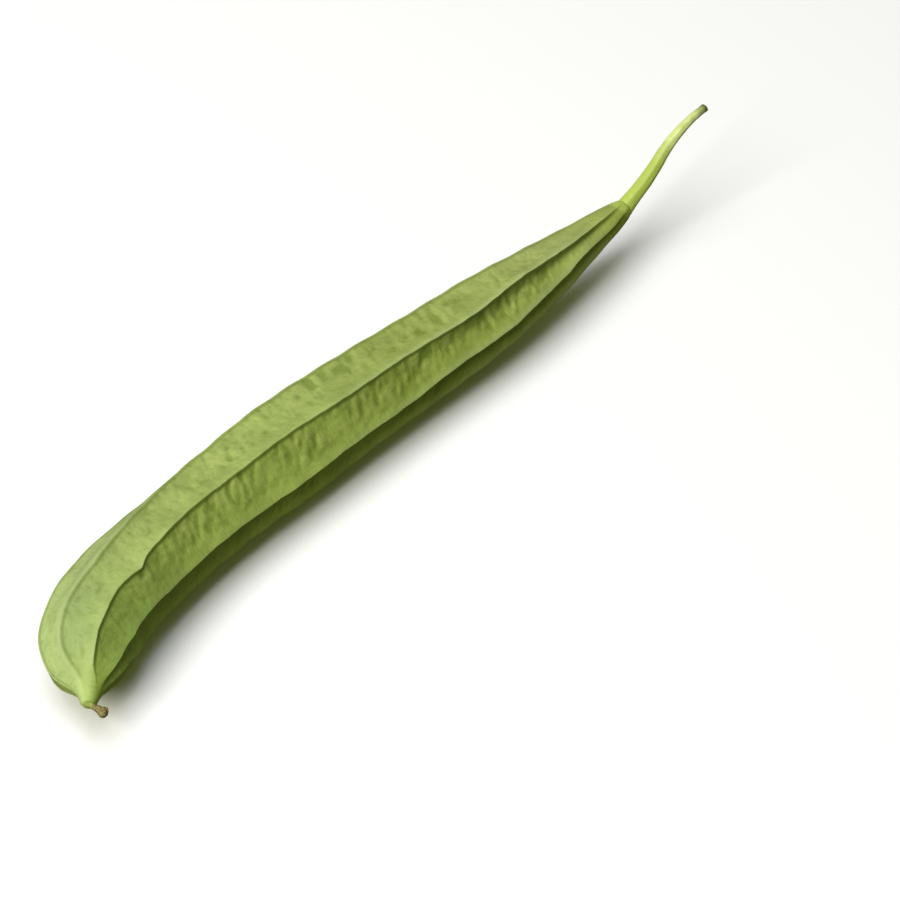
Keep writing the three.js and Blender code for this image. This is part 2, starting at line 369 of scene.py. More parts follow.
def shapeTree(name, sizes):
    # a geometry tree with named inputs: returns it with its inputs' sockets
    tree = bpy.data.node_groups.new(name, "GeometryNodeTree")
    tree.interface.new_socket("Geometry", in_out="INPUT", socket_type="NodeSocketGeometry")
    for label, value in sizes.items():
        kind = "NodeSocketInt" if isinstance(value, int) else "NodeSocketFloat"
        tree.interface.new_socket(label, in_out="INPUT", socket_type=kind).default_value = value
    tree.interface.new_socket("Material", in_out="INPUT", socket_type="NodeSocketMaterial")
    tree.interface.new_socket("Geometry", in_out="OUTPUT", socket_type="NodeSocketGeometry")
    return tree, tree.nodes.new("NodeGroupInput").outputs


def closeTree(tree, geometry, material):
    smooth = addNode(tree, "GeometryNodeSetShadeSmooth", {"Geometry": geometry}).outputs[0]
    real = addNode(tree, "GeometryNodeRealizeInstances", {"Geometry": smooth}).outputs[0]
    coated = addNode(tree, "GeometryNodeSetMaterial", {"Geometry": real, "Material": material}).outputs[0]
    out = tree.nodes.new("NodeGroupOutput")
    tree.links.new(coated, out.inputs[0])


def grow(guide, tree, sizes, material, name):
    # runs the tree on the guide, and returns its result as a plain mesh object
    bpy.context.scene.collection.objects.link(guide)
    modifier = guide.modifiers.new("shape", "NODES")
    modifier.node_group = tree
    for item in tree.interface.items_tree:
        if item.item_type == "SOCKET" and item.in_out == "INPUT":
            if item.name in sizes:
                modifier[item.identifier] = sizes[item.name]
            elif item.name == "Material":
                modifier[item.identifier] = material
    guide.update_tag()
    depsgraph = bpy.context.evaluated_depsgraph_get()
    depsgraph.update()
    mesh = bpy.data.meshes.new_from_object(guide.evaluated_get(depsgraph))
    guide.modifiers.remove(modifier)
    bpy.data.objects.remove(guide)
    mesh.name = name
    made = bpy.data.objects.new(name, mesh)
    bpy.context.scene.collection.objects.link(made)
    return made


rindSkin = {
    "Lip Height": 0.75,  # the steep side, below a ridge
    "Lip Width": 0.85,
    "Upper Lip": 0.35,  # the easy side, above it
    "Upper Width": 2.6,
    "Hollow Depth": 1.0,
    "Furrow Depth": 1.45,
    "Pleat Depth": 0.36,
    "Pleat Spacing": 3.1,
    "Pleat Length": 9.0,
    "Pleat Lean": 0.3,
    "Dent Depth": 0.4,
    "Dent Size": 3.4,
    "Crest Chips": 0.12,
    "Seed": 7,
}
# Where the skin's forms lie, in millimetres unless another measure is named
rindForm = {
    # where each sets in: start, end, and the amounts there if they aren't 0 and 1
    "roundness": (4.5, 12.0, 1.0, 0.0),  # by radius: the two ends are rounder than they are cornered
    "hollowing": (4.0, 11.0),  # by radius
    "softNeck": (285.0, 345.0, 1.0, 0.45),  # by distance from the tip: how sharp the ridges are
    "ripple": (0.3, 0.7, -1.0, 1.0),  # by noise: a pleat's height
    "patch": (0.36, 0.62, 0.4, 1.0),  # by noise: how deep a patch of pleats is
    "belowRidge": (0.4, 2.2),  # by distance down from a ridge: the pleats
    "acrossGap": (0.55, 0.99, 1.0, 0.0),  # by share of the way to the next ridge: the pleats
    "pleatsFromTip": (50.0, 125.0, 0.35, 1.0),
    "pleatsToStalk": (285.0, 350.0, 1.0, 0.2),
    "dents": (0.3, 3.5),  # by distance from the nearest ridge
    "paleTops": (130.0, 260.0, 0.25, 1.0),  # by distance from the tip: how strong the painted highlight on the ridge tops is
    "palest": (1.0, 1.6),  # by how pale a gap is
    # bands beside a ridge: width, distance of the band's middle from the ridge
    "chipped": (2.2, 0.0),
    # paleAbove, paleBelow and palestStripe place the painted highlight on the ridge tops; foot and broadFoot
    # place the painted shade under the ridges and in the neck's furrow
    "paleAbove": (2.2, 0.0),
    "paleBelow": (0.35, 0.0),
    "palestStripe": (3.6, 0.8),
    "foot": (0.7, 0.95),
    "broadFoot": (0.22, 0.13),  # in shares of the way to the next ridge
    # scale, detail and roughness of each noise
    "rippleDetail": (1.0, 1.2, 0.4),
    "patchDetail": (0.05, 2.0, 0.5),
    "chipDetail": (0.24, 2.0, 0.6),
    "seedStep": 37.7,  # how far one seed's noise lies from the next
    "drawUp": 0.45,
    "hollowPower": 1.5,
    "palestTops": 1.9,
    "footInFurrow": 1.25,
}


def onFruit(s, degrees):
    # a place on the skin in the straight coordinates that the patterns use
    radius = float(along(bodyLine["radii"], np.array([s]))[0])
    return (s, radius * math.sin(math.radians(degrees)), radius * math.cos(math.radians(degrees)))


# Marks on the skin: where, the size each way, and how far it stands out
rindMarks = [
    (onFruit(66.5, 43.5), (1.4, 2.4, 2.4), 0.4),
    (onFruit(63.0, 38.0), (2.2, 1.8, 1.8), -0.4),
    (onFruit(60.0, 5.5), (1.1, 1.1, 1.1), -0.2),
    (onFruit(46.0, 7.5), (3.6, 1.3, 1.6), -0.26),
    (onFruit(17.0, -3.5), (6.5, 1.2, 2.2), -0.26),
    (onFruit(56.0, 59.5), (1.8, 1.4, 1.4), -0.3),
    (onFruit(236.0, 52.0), (1.2, 1.2, 1.2), 0.35),
    (onFruit(301.0, 8.0), (1.0, 1.0, 1.0), -0.3),
]


def ridgeTree():
    tree, given = shapeTree("ridgedRind", rindSkin)
    share, gapAngle, crest, relief = (stored(tree, n) for n in ("share", "gapAngle", "crest", "relief"))
    straight, outward = (stored(tree, n, "FLOAT_VECTOR") for n in ("straight", "outward"))
    furrow = stored(tree, "furrow")
    seeded = vectorCalc(tree, "ADD", straight, times(tree, given["Seed"], rindForm["seedStep"]))
    fromTip = partsOf(tree, straight)[0]

    def ranged(value, name):
        return fade(tree, value, *rindForm[name])

    def bell(distance, width, centre=0.0):  # 1 at the centre, falling away over the width
        steps = over(tree, minus(tree, distance, centre), width)
        return calc(tree, "EXPONENT", times(tree, steps, steps, -1.0))

    def band(distance, name):
        return bell(distance, *rindForm[name])

    # the straight line from ridge to ridge, less the hollow and the ridges' lips
    cosHalfGap = calc(tree, "COSINE", times(tree, gapAngle, 0.5))
    cosOffMiddle = calc(tree, "COSINE", times(tree, minus(tree, share, 0.5), gapAngle))
    straightChord = over(tree, times(tree, crest, cosHalfGap), cosOffMiddle)
    chord = addNode(
        tree, "ShaderNodeMix", {0: ranged(crest, "roundness"), 2: straightChord, 3: crest}, data_type="FLOAT"
    ).outputs[0]
    gapWidth = times(tree, crest, gapAngle)
    below = times(tree, gapWidth, share)  # millimetres down from the ridge above
    above = minus(tree, gapWidth, below)  # and up from the ridge below
    fromRidge = calc(tree, "MINIMUM", below, above)

    lipChange = times(tree, share, minus(tree, given["Upper Lip"], given["Lip Height"]))
    lipHeight = plus(tree, given["Lip Height"], lipChange)
    lowerSide = minus(tree, 1.0, bell(below, given["Lip Width"]))
    upperSide = minus(tree, 1.0, bell(above, given["Upper Width"]))
    sharpness = times(tree, stored(tree, "sharp"), ranged(fromTip, "softNeck"))
    lip = times(tree, lipHeight, times(tree, lowerSide, upperSide), sharpness)
    drawnUp = calc(tree, "POWER", share, calc(tree, "MULTIPLY_ADD", furrow, -rindForm["drawUp"], 1.0))
    sag = calc(tree, "POWER", calc(tree, "SINE", times(tree, drawnUp, math.pi)), rindForm["hollowPower"])
    hollowDepth = times(tree, given["Hollow Depth"], stored(tree, "hollow"))
    depth = plus(tree, hollowDepth, times(tree, given["Furrow Depth"], furrow))
    hollow = times(tree, depth, sag, ranged(crest, "hollowing"))
    carved = plus(tree, times(tree, lip, relief), hollow)

    # pleats run across the hollows, deepest just below a ridge and in patches along the fruit
    across = over(tree, 1.0, given["Pleat Length"])
    pleatScale = vectorOf(tree, over(tree, 1.0, given["Pleat Spacing"]), across, across)
    leaning = vectorOf(tree, times(tree, below, given["Pleat Lean"]))
    pleatPlace = vectorCalc(tree, "MULTIPLY", vectorCalc(tree, "ADD", seeded, leaning), pleatScale)
    ripple = ranged(noise(tree, pleatPlace, *rindForm["rippleDetail"]), "ripple")
    patch = ranged(noise(tree, seeded, *rindForm["patchDetail"]), "patch")
    nearSide = times(tree, ranged(below, "belowRidge"), ranged(share, "acrossGap"))
    fromEnds = times(tree, ranged(fromTip, "pleatsFromTip"), ranged(fromTip, "pleatsToStalk"))
    pleatMask = times(tree, times(tree, nearSide, patch), times(tree, fromEnds, stored(tree, "pleated")))
    pleat = times(tree, ripple, pleatMask)
    pleatOut = times(tree, pleat, given["Pleat Depth"])

    # shallow dents in the hollows, and a chipped edge on the ridges
    dent = evenNoise(tree, vectorCalc(tree, "SCALE", seeded, over(tree, 1.0, given["Dent Size"])))
    dentOut = times(tree, dent, given["Dent Depth"], ranged(fromRidge, "dents"))
    chip = evenNoise(tree, seeded, *rindForm["chipDetail"])
    chipOut = times(tree, chip, given["Crest Chips"], band(fromRidge, "chipped"))

    # a few marks: how far each stands out, or is sunk, fades away over its size
    marks = 0.0
    for place, size, height in rindMarks:
        away = vectorCalc(tree, "DIVIDE", vectorCalc(tree, "SUBTRACT", straight, place), size)
        reach = vectorCalc(tree, "DOT_PRODUCT", away, away)
        spot = times(tree, calc(tree, "EXPONENT", times(tree, reach, -1.0)), height)
        marks = plus(tree, spot, marks)

    skin = plus(tree, pleatOut, dentOut, chipOut)
    change = minus(tree, times(tree, relief, skin), carved)
    radius = plus(tree, chord, change, marks)
    outwards = times(tree, minus(tree, radius, crest), mm)
    shaped = shifted(tree, given["Geometry"], vectorCalc(tree, "SCALE", outward, outwards))

    # the lowest ridges are pressed flat on the surface
    place = partsOf(tree, tree.nodes.new("GeometryNodeInputPosition").outputs[0])
    pressed = vectorOf(tree, place[0], place[1], greater(tree, place[2], 0.0))
    rested = addNode(tree, "GeometryNodeSetPosition", {"Geometry": shaped, "Position": pressed}).outputs[0]

    # what the finish needs to know
    # masks for the painted highlight along the ridge tops and the painted shade under the ridges and in the
    # neck's furrow
    topBand = greater(tree, band(above, "paleAbove"), band(below, "paleBelow"))
    palest = ranged(stored(tree, "pale"), "palest")
    stripped = greater(tree, topBand, times(tree, palest, band(above, "palestStripe")))
    lengthwise = greater(tree, ranged(fromTip, "paleTops"), times(tree, palest, rindForm["palestTops"]))
    broadFoot = times(tree, furrow, rindForm["footInFurrow"], band(share, "broadFoot"))
    foot = greater(tree, band(below, "foot"), broadFoot)
    told = {
        "ridgeTopHighlight": times(tree, stripped, lengthwise, relief),
        "ridgeFootShade": times(tree, foot, relief),
        "pleat": times(tree, pleat, relief),
        "marks": marks,
        "dent": times(tree, dent, relief),
    }
    for name, value in told.items():
        rested = keep(tree, rested, name, value)
    closeTree(tree, rested, given["Material"])
    return tree


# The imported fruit's own rings, and its skin, which has no pleats or dents
packedRule = {
    "tipRings": [0, 0.9, 3, 6, 9, 12.5, 16.5, 21.5, 27],
    "neckRings": [381, 383.5, 385],
    "ringSpacing": 5.6,
    "placesInGap": (0, 0.09, 0.3, 0.5, 0.7, 0.91),
    "lipHeight": 0.9,
    "lipWidth": 1.5,
    "hollowDepth": 0.9,
    "hollowPower": 1.5,
}


def carvedRings():
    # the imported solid's points by the same rule, to find where it lies
    first, last = packedRule["tipRings"][-1], packedRule["neckRings"][0]
    count = round((last - first) / packedRule["ringSpacing"])
    body = [first + (last - first) * i / count for i in range(1, count)]
    s = np.array(packedRule["tipRings"] + body + packedRule["neckRings"], float)
    angles, heights, relief = ridgesAt(s)
    sideways = sidewaysAt(headingAt(s))
    rings = []
    for k in range(len(ridgeNet["courses"])):
        gap = angles[:, k + 1] - angles[:, k]
        for u in packedRule["placesInGap"]:
            crest = heights[:, k] + (heights[:, k + 1] - heights[:, k]) * u
            chord = crest * np.cos(gap / 2) / np.cos((u - 0.5) * gap)
            fromRidge = crest * gap * min(u, 1 - u)
            lip = packedRule["lipHeight"] * (1 - np.exp(-((fromRidge / packedRule["lipWidth"]) ** 2)))
            hollow = packedRule["hollowDepth"] * math.sin(math.pi * u) ** packedRule["hollowPower"]
            radius = chord - relief * (lip + hollow)
            angle = angles[:, k] + gap * u
            rings.append(
                centreAt(s) + sideways * (radius * np.sin(angle))[:, None]
                + np.array([0, 0, 1.0]) * (radius * np.cos(angle))[:, None]
            )
    return np.array(rings).transpose(1, 0, 2)


def makeFruit(material):
    rings, poles, values = fruitGuide()
    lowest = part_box("fruit")[0]
    # the shape is drawn from its blossom tip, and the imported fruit's box says where that tip lies
    coarse = carvedRings()
    tip = np.array([lowest.x / mm - coarse[..., 0].min(), lowest.y / mm - coarse[..., 1].min(), 0])
    mesh = closedTube("fruitGuide", (rings + tip) * mm, (poles + tip) * mm)
    storeValues(mesh, values, {
        "share": [0.5, 0.5], "gapAngle": [ridgeNet["gapAtPoles"]] * 2,
        "straight": [[0, 0, 0], [bodyLine["length"], 0, 0]],
    })
    guide = bpy.data.objects.new("fruitGuide", mesh)
    return grow(guide, ridgeTree(), rindSkin, material, "gourdFruit"), tip


# The stalk: its line as (distance on from the fruit's end, rise), and its radius at shares of its length
stalkShape = {
    "line": [
        (-2.5, -0.5), (0, 0), (8.4, 3.4), (15.9, 6.8), (22.7, 11), (28.4, 15.5), (34.6, 19.2),
        (41.8, 21.9), (50.5, 23.5), (59.8, 23.9),
    ],
    "radii": [
        (0, 4.0), (0.036, 4.45), (0.055, 4.25), (0.09, 3.95), (0.14, 3.7), (0.22, 3.5), (0.4, 3.15),
        (0.6, 2.67), (0.81, 2.18), (0.955, 1.92), (1, 2.03),
    ],
    "length": 68.2,
    "steps": 170,
    "stepOff": 0.3,  # its line starts this far past the end of the fruit's centreline
    "cutFace": [(0.16, 0.0), (0.18, 0.32), (0.4, 0.18), (0.5, 0.02)],  # share drawn in, depth sunk
    "sideCorners": 8,  # a face with more corners than this is an end face
    "seedStep": 13.1,  # how far one seed's noise lies from the next
    "girth": 3.0,  # the usual radius, which the patterns take all along the stalk
    "fibreGirth": 3.2,
    "fibreDetail": (1.0, 2.5, 0.6),  # a noise's scale, detail and roughness
    "knotDetail": (0.17, 2.0, 0.5),
}
stalkSkin = {
    "Corners": 5,
    "Flute": 0.032,
    "Points Around": 80,
    "Fibre Depth": 0.1,
    "Fibre Length": 22.0,
    "Knot Depth": 0.16,
    "Seed": 3,
}


def stalkTree():
    tree, given = shapeTree("flutedStalk", stalkSkin)
    # a cornered outline, a millimetre in radius, is swept along the path by the path's own radius
    outline = addNode(
        tree, "GeometryNodeCurvePrimitiveCircle",
        {"Resolution": given["Points Around"], "Radius": mm}, mode="RADIUS",
    ).outputs[0]
    spot = tree.nodes.new("GeometryNodeInputPosition").outputs[0]
    x, y = partsOf(tree, spot)[:2]
    waves = calc(tree, "COSINE", times(tree, calc(tree, "ARCTAN2", y, x), given["Corners"]))
    standOut = times(tree, waves, given["Flute"])
    marked = keep(tree, outline, "round", vectorCalc(tree, "SCALE", spot, 1 / mm), "FLOAT_VECTOR")
    fluted = shifted(tree, marked, vectorCalc(tree, "SCALE", spot, standOut))
    lengthAlong = addNode(tree, "GeometryNodeSplineParameter").outputs["Length"]
    path = keep(tree, given["Geometry"], "along", over(tree, lengthAlong, mm))
    thick = tree.nodes.new("GeometryNodeInputRadius").outputs[0]
    swept = addNode(
        tree, "GeometryNodeCurveToMesh",
        {"Curve": path, "Profile Curve": fluted, "Scale": thick, "Fill Caps": True},
    ).outputs[0]

    # fibres run lengthwise, and a few soft knots cross them
    across, up = partsOf(tree, stored(tree, "round", "FLOAT_VECTOR"))[:2]
    alongHere = stored(tree, "along")

    def unrolled(distance, girth):
        return vectorOf(tree, distance, times(tree, across, girth), times(tree, up, girth))

    straight = unrolled(alongHere, stalkShape["girth"])
    seedShift = times(tree, given["Seed"], stalkShape["seedStep"])
    stretched = plus(tree, over(tree, alongHere, given["Fibre Length"]), seedShift)
    fibre = evenNoise(tree, unrolled(stretched, stalkShape["fibreGirth"]), *stalkShape["fibreDetail"])
    knot = evenNoise(tree, straight, *stalkShape["knotDetail"])
    relief = plus(tree, times(tree, fibre, given["Fibre Depth"]), times(tree, knot, given["Knot Depth"]))
    normal = tree.nodes.new("GeometryNodeInputNormal").outputs[0]
    uneven = shifted(tree, swept, vectorCalc(tree, "SCALE", normal, times(tree, relief, mm)))
    withStraight = keep(tree, uneven, "straight", straight, "FLOAT_VECTOR")
    closeTree(tree, keep(tree, withStraight, "fibre", fibre), given["Material"])
    return tree


def makeStalk(material, tip):
    end = centreAt(np.array([bodyLine["length"]]))[0] + tip
    turn = float(headingAt(np.array([bodyLine["length"]]))[0])
    forward = np.array([math.cos(turn), math.sin(turn), 0])
    line = np.array(stalkShape["line"], float)
    walked = np.concatenate([[0], np.cumsum(np.hypot(*np.diff(line, axis=0).T))])
    fine = np.linspace(0, walked[-1], stalkShape["steps"])
    distance = along(list(zip(walked, line[:, 0])), fine) + stalkShape["stepOff"]
    rise = along(list(zip(walked, line[:, 1])), fine)
    points = end + forward * distance[:, None] + np.array([0, 0, 1.0]) * rise[:, None]
    radii = along(stalkShape["radii"], fine / walked[-1])
    curve = bpy.data.curves.new("stalkPath", "CURVE")
    curve.dimensions = "3D"
    curve.twist_mode = "Z_UP"
    spline = curve.splines.new("POLY")
    spline.points.add(len(points) - 1)
    spline.points.foreach_set("co", np.hstack([points * mm, np.ones((len(points), 1))]).ravel())
    spline.points.foreach_set("radius", radii)
    guide = bpy.data.objects.new("stalkPath", curve)
    stalk = grow(guide, stalkTree(), stalkSkin, material, "gourdStalk")
    cutEnd(stalk, points[-1] * mm)
    return stalk


def cutEnd(stalk, tipPoint):
    # the knife left a face with a thin rim and a sunken, dry middle
    def endFaces():
        return [f for f in work.faces if len(f.verts) > stalkShape["sideCorners"]]

    work = bmesh.new()
    work.from_mesh(stalk.data)
    cap = min(endFaces(), key=lambda f: (f.calc_center_median() - Vector(tipPoint)).length)
    cut = work.verts.layers.float.new("cutFace")
    axis = cap.normal.copy()
    for ringIn, sink in stalkShape["cutFace"]:
        bmesh.ops.inset_individual(work, faces=[cap], thickness=0, use_even_offset=False)
        middle = cap.calc_center_median()
        for v in cap.verts:
            v.co = middle + (v.co - middle) * (1 - ringIn) - axis * sink * mm
            v[cut] = 1.0
    bmesh.ops.poke(work, faces=endFaces())
    work.to_mesh(stalk.data)
    work.free()


# The dried flower at the blossom end: (distance on from the tip, radius, how far its lobes stand out)
flowerShape = {
    "profile": [
        (-2.6, 1.1, 0), (-1.2, 1.4, 0), (0, 1.6, 0), (1.4, 1.4, 0.03), (2.8, 1.35, 0.06), (4.0, 1.5, 0.1),
        (5.6, 1.85, 0.16), (7.0, 2.1, 0.22), (7.9, 1.8, 0.24), (8.5, 1.1, 0.2), (8.8, 0.5, 0.1),
    ],
    "turn": 58.0,
    "droop": 8.0,
    "stepOff": 0.3,  # it starts this far past the end of the fruit's centreline
    "crumpleFrom": -0.6,  # the part in the fruit is smooth up to here
    "crumpleSpan": 2.5,
    "around": 70,
    "rings": 60,
    "seedStep": 5.3,  # how far one seed's noise lies from the next
    "creaseLevel": 0.3,
    "crumpleDetail": (1.0, 1.0, 0.5),  # a noise's scale, detail and roughness
    "creaseDetail": (1.0, 2.0, 0.6),
}
flowerSkin = {
    "Crumple": 0.42,
    "Crumple Size": 1.5,
    "Crease": 0.22,
    "Crease Size": 0.55,
    "Lobes": 5,
    "Seed": 11,
}


def flowerTree():
    tree, given = shapeTree("witheredFlower", flowerSkin)
    seedShift = times(tree, given["Seed"], flowerShape["seedStep"])
    straight = vectorCalc(tree, "ADD", stored(tree, "straight", "FLOAT_VECTOR"), seedShift)

    def sized(name):
        return vectorCalc(tree, "SCALE", straight, over(tree, 1.0, given[name]))

    waves = calc(tree, "COSINE", times(tree, stored(tree, "angle"), given["Lobes"]))
    lobe = times(tree, waves, stored(tree, "lobe"))
    crumpleNoise = evenNoise(tree, sized("Crumple Size"), *flowerShape["crumpleDetail"])
    crumple = times(tree, crumpleNoise, given["Crumple"])
    folds = calc(tree, "ABSOLUTE", evenNoise(tree, sized("Crease Size"), *flowerShape["creaseDetail"]))
    crease = times(tree, minus(tree, folds, flowerShape["creaseLevel"]), given["Crease"])
    change = plus(tree, lobe, times(tree, plus(tree, crumple, crease), stored(tree, "free")))
    offset = vectorCalc(tree, "SCALE", stored(tree, "outward", "FLOAT_VECTOR"), times(tree, change, mm))
    crumpled = shifted(tree, given["Geometry"], offset)
    closeTree(tree, keep(tree, crumpled, "fold", folds), given["Material"])
    return tree


def makeFlower(material, tip):
    start = centreAt(np.array([0.0]))[0] + tip
    turn = float(headingAt(np.array([0.0]))[0]) + math.pi
    lean = turn + math.radians(flowerShape["turn"])
    droop = -math.radians(flowerShape["droop"])
    leaning = np.array([math.cos(lean) * math.cos(droop), math.sin(lean) * math.cos(droop), math.sin(droop)])
    side = np.cross([0, 0, 1.0], leaning)
    side /= np.linalg.norm(side)
    upwards = np.cross(leaning, side)
    profile = flowerShape["profile"]
    distance = np.linspace(profile[0][0], profile[-1][0], flowerShape["rings"])
    radius = along([(p[0], p[1]) for p in profile], distance)
    lobe = along([(p[0], p[2]) for p in profile], distance)
    free = smoothStep((distance - flowerShape["crumpleFrom"]) / flowerShape["crumpleSpan"])
    angle = 2 * math.pi * np.arange(flowerShape["around"]) / flowerShape["around"]
    outward = -side * np.sin(angle)[:, None] + upwards * np.cos(angle)[:, None]
    centre = start + leaning * (distance + flowerShape["stepOff"])[:, None]
    rings = centre[:, None] + outward[None] * radius[:, None, None]
    mesh = closedTube("flowerGuide", rings * mm, centre[[0, -1]] * mm)
    grid = np.ones((len(distance), len(angle)))
    values = {
        "outward": np.repeat(outward[None], len(distance), 0),
        "straight": np.stack(
            [grid * distance[:, None], radius[:, None] * np.sin(angle), radius[:, None] * np.cos(angle)], -1
        ),
        "free": grid * free[:, None],
        "angle": grid * angle,
        "lobe": grid * (lobe * radius)[:, None],
    }
    storeValues(mesh, values, {"straight": [[distance[0], 0, 0], [distance[-1], 0, 0]]})
    guide = bpy.data.objects.new("flowerGuide", mesh)
    return grow(guide, flowerTree(), flowerSkin, material, "driedBlossom")


# Finishes


def tint(red, green, blue):
    # a screen colour, 0 to 255, as the linear colour that a shader takes
    def linear(c):
        c = c / 255
        return c / 12.92 if c <= 0.04045 else ((c + 0.055) / 1.055) ** 2.4

    return (linear(red), linear(green), linear(blue), 1.0)


def mixed(tree, amount, under, cover, mode="MIX"):
    inputs = {0: amount, 6: under, 7: cover}
    return addNode(tree, "ShaderNodeMix", inputs, data_type="RGBA", blend_type=mode).outputs[2]


def ramp(tree, value, stops):
    made = addNode(tree, "ShaderNodeValToRGB", {"Fac": value})
    made.color_ramp.interpolation = "EASE"
    points = made.color_ramp.elements
    while len(points) < len(stops):
        points.new(0.5)
    for point, (place, colour) in zip(points, stops):
        point.position = place
        point.color = colour
    return made.outputs[0]


def ownValue(tree, name, output="Fac"):
    return addNode(tree, "ShaderNodeAttribute", attribute_name=name).outputs[output]


plantGrain = {
    "sizes": {"Cloud Size": 12.0, "Grain Size": 0.8, "Pore Spacing": 3.0},
    "cloudDetail": (1.0, 4.0, 0.55),  # a noise's scale, detail and roughness
    "grainDetail": (1.0, 3.0, 0.6),
    "poreSpan": (0.07, 0.2, 1.0, 0.0),  # by distance from the middle of a cell
}


def grainGroup():
    # fresh plant skin: cloudy shade, fine grain and pale pores
    tree = bpy.data.node_groups.new("skinGrain", "ShaderNodeTree")
    for label, value in plantGrain["sizes"].items():
        tree.interface.new_socket(label, in_out="INPUT", socket_type="NodeSocketFloat").default_value = value
    tree.interface.new_socket("Place", in_out="INPUT", socket_type="NodeSocketVector")
    for label in ("Cloud", "Grain", "Pores"):
        tree.interface.new_socket(label, in_out="OUTPUT", socket_type="NodeSocketFloat")
    given = tree.nodes.new("NodeGroupInput").outputs
    out = tree.nodes.new("NodeGroupOutput").inputs

    def sized(name):
        return vectorCalc(tree, "SCALE", given["Place"], over(tree, 1.0, given[name]))

    tree.links.new(noise(tree, sized("Cloud Size"), *plantGrain["cloudDetail"]), out["Cloud"])
    tree.links.new(noise(tree, sized("Grain Size"), *plantGrain["grainDetail"]), out["Grain"])
    cells = addNode(
        tree, "ShaderNodeTexVoronoi", {"Vector": sized("Pore Spacing"), "Scale": 1.0, "Randomness": 1.0}
    )
    tree.links.new(fade(tree, cells.outputs["Distance"], *plantGrain["poreSpan"]), out["Pores"])
    return tree


def grained(tree, grain, place, sizes):
    return addNode(tree, "ShaderNodeGroup", {**sizes, "Place": place}, node_tree=grain).outputs


def finish(name, values):
    # a material with one Principled shader, ready to be wired
    material = bpy.data.materials.new(name)
    material.use_nodes = True
    tree = material.node_tree
    tree.nodes.clear()
    shader = addNode(tree, "ShaderNodeBsdfPrincipled", values)
    tree.links.new(shader.outputs[0], tree.nodes.new("ShaderNodeOutputMaterial").inputs["Surface"])
    return material, tree, shader.inputs


def bumped(tree, surface, height, bump):
    strength, distance = bump
    inputs = {"Height": height, "Strength": strength, "Distance": distance * mm}
    tree.links.new(addNode(tree, "ShaderNodeBump", inputs).outputs[0], surface["Normal"])


rindFinish = {
    # the ground colour, at shares of the fruit's length from its tip
    "ground": [
        (0.0, tint(167, 189, 100)),
        (0.06, tint(151, 172, 96)),
        (0.2, tint(152, 169, 93)),
        (0.42, tint(154, 171, 93)),
        (0.64, tint(147, 162, 83)),
        (0.88, tint(160, 172, 100)),
        (0.985, tint(154, 166, 82)),
    ],
    "wander": 30.0,  # how far its bands stray
    "grain": {"Cloud Size": 16.0, "Grain Size": 0.9, "Pore Spacing": 2.6},
    "cloudSpan": (0.3, 0.7),
    "cloudShade": (0.88, 1.12),
    "roughness": (0.42, 0.58),
    "specular": 0.36,
    "bump": (0.4, 0.3),  # strength, distance
    "paintedShadeSide": (0.95, 0.99, 0.7, 1.0),  # a painted shade: what the colour of the sides turned from the lights is multiplied by
    # a pale bluish colour on the far upper side, partly the fruit's waxy bloom and partly a painted sheen
    # from the lights
    "bloomAndSheen": tint(184, 204, 138),
    # the painted shade on the sunken side of pleats and dents, also the colour of the fine streaks
    "hollow": tint(100, 122, 34),
    # a painted highlight on the raised side of pleats and dents
    "raisedHighlight": tint(174, 188, 104),
    # a painted highlight along the ridge tops
    "ridgeTopHighlight": tint(184, 202, 142),
    # a painted shade in the line under each ridge, in the neck's furrow and in the sunk marks
    "ridgeFootShade": tint(82, 102, 30),
    "pore": tint(180, 197, 126),
    "scuff": tint(150, 146, 92),
    "collar": tint(182, 202, 96),
    "paintedShadeSideSpan": (0.0, 1.0, 1.0, 0.0),  # each span: start, end, amount of the colour at them
    "bloomAndSheenSpan": (1.0, 2.0, 0.0, 0.9),
    "sunkenSpan": (0.0, -0.75, 0.0, 0.55),
    "raisedSpan": (0.05, 0.8, 0.0, 0.45),
    "streakSpan": (0.5, 0.72, 0.0, 0.3),
    "scuffSpan": (0.62, 0.74),
    "pitSpan": (-0.03, -0.4, 0.0, 0.5),
    "wartSpan": (0.08, 0.5, 0.0, 0.35),
    "collarSpan": (381.0, 384.4, 0.0, 0.9),
    "dentShare": 0.6,  # how much a dent's colour shows beside a pleat's
    "streakScale": (0.7, 0.3, 0.3),
    "streakDetail": (1.0, 3.0, 0.6),  # a noise's scale, detail and roughness
    "streakRelief": 1.6,
    "footAmount": 0.45,
    "topAmount": 0.4,
    "poreAmount": 0.16,
    "scuffAmount": 0.45,
    "scuffDetail": (0.11, 3.0, 0.6),
    "collarDetail": (0.5, 2.0, 0.5),
    "collarRagged": 2.4,
    "collarSlant": 0.55,
}


